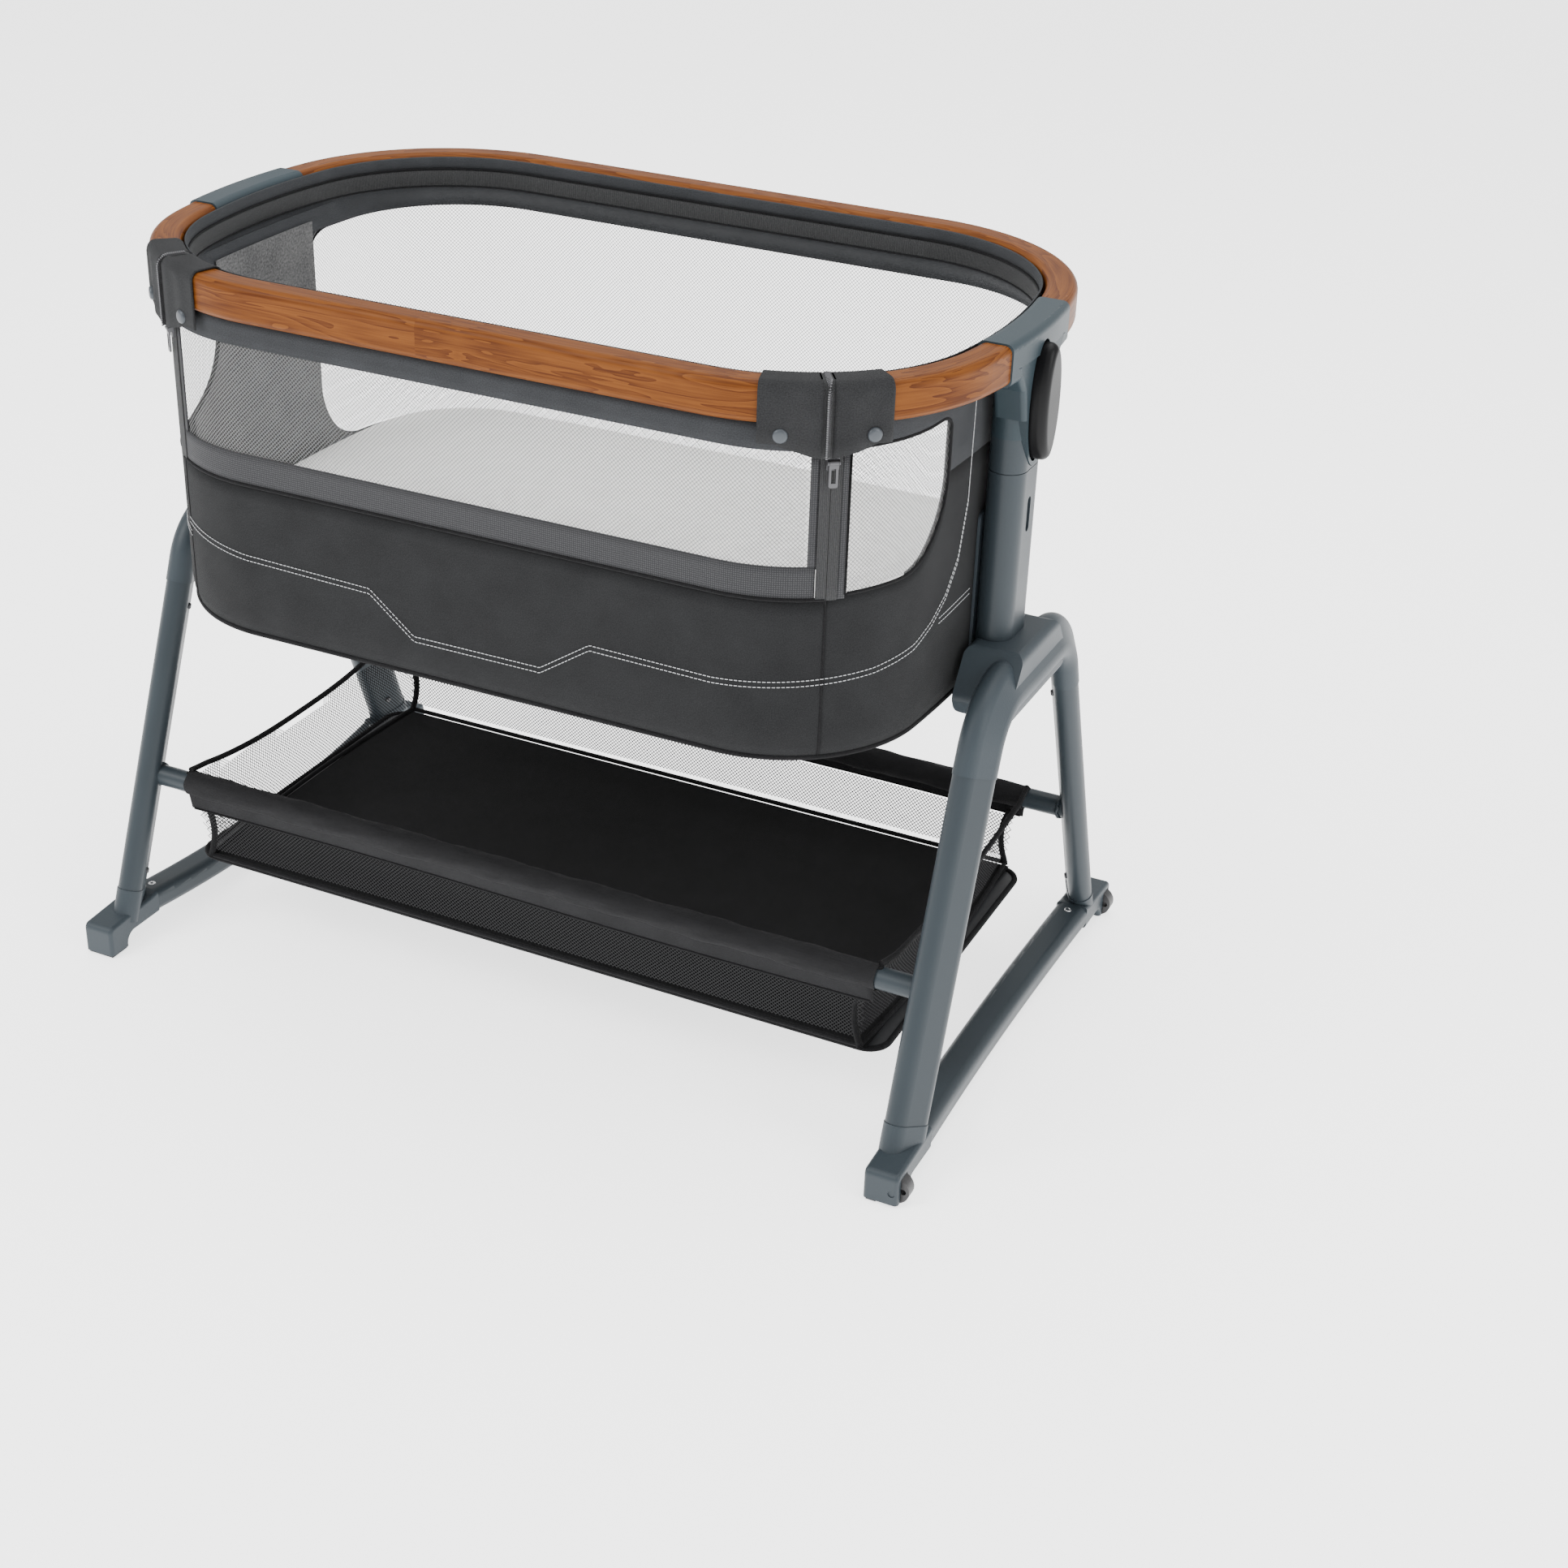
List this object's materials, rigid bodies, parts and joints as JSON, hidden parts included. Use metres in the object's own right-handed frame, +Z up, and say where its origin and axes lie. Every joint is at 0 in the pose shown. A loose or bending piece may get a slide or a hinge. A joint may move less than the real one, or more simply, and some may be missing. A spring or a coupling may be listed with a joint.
{
  "type": "bedside sleeper crib",
  "caption": "Bedside sleeper crib: oval fabric bassinet with mesh windows and a zip-down drop side, on height-adjustable posts over A-shaped end stands with wheels and a storage basket.",
  "frame": {"origin": "middle of the footprint, on the floor under the pads", "axes": "+X along the crib towards the wheeled end, +Y from the drop side to the back, +Z up"},
  "size_m": [0.9381, 0.604, 0.7545],
  "materials": {
    "frame": "satin slate paint",
    "casting": "satin slate moulding",
    "wood_print": "wood-grain print",
    "rubber": "matt",
    "wheel": "matt",
    "button": "gloss",
    "steel": "gunmetal",
    "shell": "melange weave with net windows",
    "basket": "woven",
    "board": "plain",
    "sheet": "cotton sheet"
  },
  "bodies": {
    "stand": {"leg_front_left": "frame", "foot_front_left": "casting", "pad_front_left": "rubber", "leg_back_left": "frame", "foot_back_left": "casting", "pad_back_left": "rubber", "rail_left": "frame", "yoke_left": "casting", "sleeve_left": "frame", "leg_front_right": "frame", "foot_front_right": "casting", "pad_front_right": "rubber", "leg_back_right": "frame", "foot_back_right": "casting", "pad_back_right": "rubber", "rail_right": "frame", "yoke_right": "casting", "sleeve_right": "frame", "crossbar_front": "frame", "crossbar_back": "frame", "basket": "basket", "basket_board": "board"},
    "bassinet": {"post_left": "steel", "hub_left": "casting", "bracket_left": "board", "rim_corner_left": "wood_print", "cover_corner_left": "shell", "post_right": "steel", "hub_right": "casting", "bracket_right": "board", "rim_corner_right": "wood_print", "cover_corner_right": "shell", "rim_back": "wood_print", "tub": "shell", "bed_frame": "steel", "bed_board": "board", "mattress": "sheet"},
    "drop_side": {"front_rail": "wood_print", "front_panel": "shell", "cover_panel_left": "shell", "cover_panel_right": "shell"},
    "slider_left": {"slider_left": "steel"},
    "pull_left": {"pull_left": "steel"},
    "button_left": {"button_left": "button"},
    "latch_left": {"latch_left": "steel"},
    "slider_right": {"slider_right": "steel"},
    "pull_right": {"pull_right": "steel"},
    "button_right": {"button_right": "button"},
    "latch_right": {"latch_right": "steel"},
    "wheel_front": {"wheel_front": "wheel"},
    "wheel_back": {"wheel_back": "wheel"},
    "snap_low_front_left": {"snap_low_front_left": "steel"},
    "snap_high_front_left": {"snap_high_front_left": "steel"},
    "snap_low_back_left": {"snap_low_back_left": "steel"},
    "snap_high_back_left": {"snap_high_back_left": "steel"},
    "snap_low_front_right": {"snap_low_front_right": "steel"},
    "snap_high_front_right": {"snap_high_front_right": "steel"},
    "snap_low_back_right": {"snap_low_back_right": "steel"},
    "snap_high_back_right": {"snap_high_back_right": "steel"}
  },
  "joints": [
    {"name": "height", "type": "slide", "parent": "stand", "child": "bassinet", "axis": [0, 0, 1], "range_m": [0, 0.16]},
    {"name": "drop_side", "type": "hinge", "parent": "bassinet", "child": "drop_side", "pos_m": [0, -0.262, 0.556], "axis": [1, 0, 0], "range_deg": [0, 165]},
    {"name": "zip_left", "type": "slide", "parent": "drop_side", "child": "slider_left", "axis": [0, 0, -1], "range_m": [0, 0.115]},
    {"name": "pull_left", "type": "hinge", "parent": "slider_left", "child": "pull_left", "pos_m": [-0.34261, -0.23399, 0.6835], "axis": [-0.7745, 0.6325, 0], "range_deg": [0, 110]},
    {"name": "button_left", "type": "slide", "parent": "bassinet", "child": "button_left", "axis": [1, 0, 0], "range_m": [0, 0.006], "stiffness_N_per_m": 600},
    {"name": "latch_left", "type": "slide", "parent": "bassinet", "child": "latch_left", "axis": [-1, 0, 0], "range_m": [0, 0.006]},
    {"name": "zip_right", "type": "slide", "parent": "drop_side", "child": "slider_right", "axis": [0, 0, -1], "range_m": [0, 0.115]},
    {"name": "pull_right", "type": "hinge", "parent": "slider_right", "child": "pull_right", "pos_m": [0.33461, -0.23399, 0.6835], "axis": [-0.7745, -0.6325, 0], "range_deg": [0, 110]},
    {"name": "button_right", "type": "slide", "parent": "bassinet", "child": "button_right", "axis": [-1, 0, 0], "range_m": [0, 0.006], "stiffness_N_per_m": 600},
    {"name": "latch_right", "type": "slide", "parent": "bassinet", "child": "latch_right", "axis": [1, 0, 0], "range_m": [0, 0.006]},
    {"name": "wheel_front", "type": "hinge", "parent": "stand", "child": "wheel_front", "pos_m": [0.4545, -0.2875, 0.0155], "axis": [0, 1, 0], "continuous": true},
    {"name": "wheel_back", "type": "hinge", "parent": "stand", "child": "wheel_back", "pos_m": [0.4545, 0.2875, 0.0155], "axis": [0, 1, 0], "continuous": true},
    {"name": "snap_low_front_left", "type": "slide", "parent": "stand", "child": "snap_low_front_left", "axis": [-0.8805, -0.4386, 0.1799], "range_m": [0, 0.002], "stiffness_N_per_m": 500},
    {"name": "snap_high_front_left", "type": "slide", "parent": "stand", "child": "snap_high_front_left", "axis": [-0.8805, -0.4386, 0.1799], "range_m": [0, 0.002], "stiffness_N_per_m": 500},
    {"name": "snap_low_back_left", "type": "slide", "parent": "stand", "child": "snap_low_back_left", "axis": [-0.8805, 0.4386, 0.1799], "range_m": [0, 0.002], "stiffness_N_per_m": 500},
    {"name": "snap_high_back_left", "type": "slide", "parent": "stand", "child": "snap_high_back_left", "axis": [-0.8805, 0.4386, 0.1799], "range_m": [0, 0.002], "stiffness_N_per_m": 500},
    {"name": "snap_low_front_right", "type": "slide", "parent": "stand", "child": "snap_low_front_right", "axis": [0.8805, -0.4386, 0.1799], "range_m": [0, 0.002], "stiffness_N_per_m": 500},
    {"name": "snap_high_front_right", "type": "slide", "parent": "stand", "child": "snap_high_front_right", "axis": [0.8805, -0.4386, 0.1799], "range_m": [0, 0.002], "stiffness_N_per_m": 500},
    {"name": "snap_low_back_right", "type": "slide", "parent": "stand", "child": "snap_low_back_right", "axis": [0.8805, 0.4386, 0.1799], "range_m": [0, 0.002], "stiffness_N_per_m": 500},
    {"name": "snap_high_back_right", "type": "slide", "parent": "stand", "child": "snap_high_back_right", "axis": [0.8805, 0.4386, 0.1799], "range_m": [0, 0.002], "stiffness_N_per_m": 500}
  ],
  "couplings": [
    {"joint": "latch_left", "follows": "button_left", "ratio": 1},
    {"joint": "latch_right", "follows": "button_right", "ratio": 1}
  ]
}
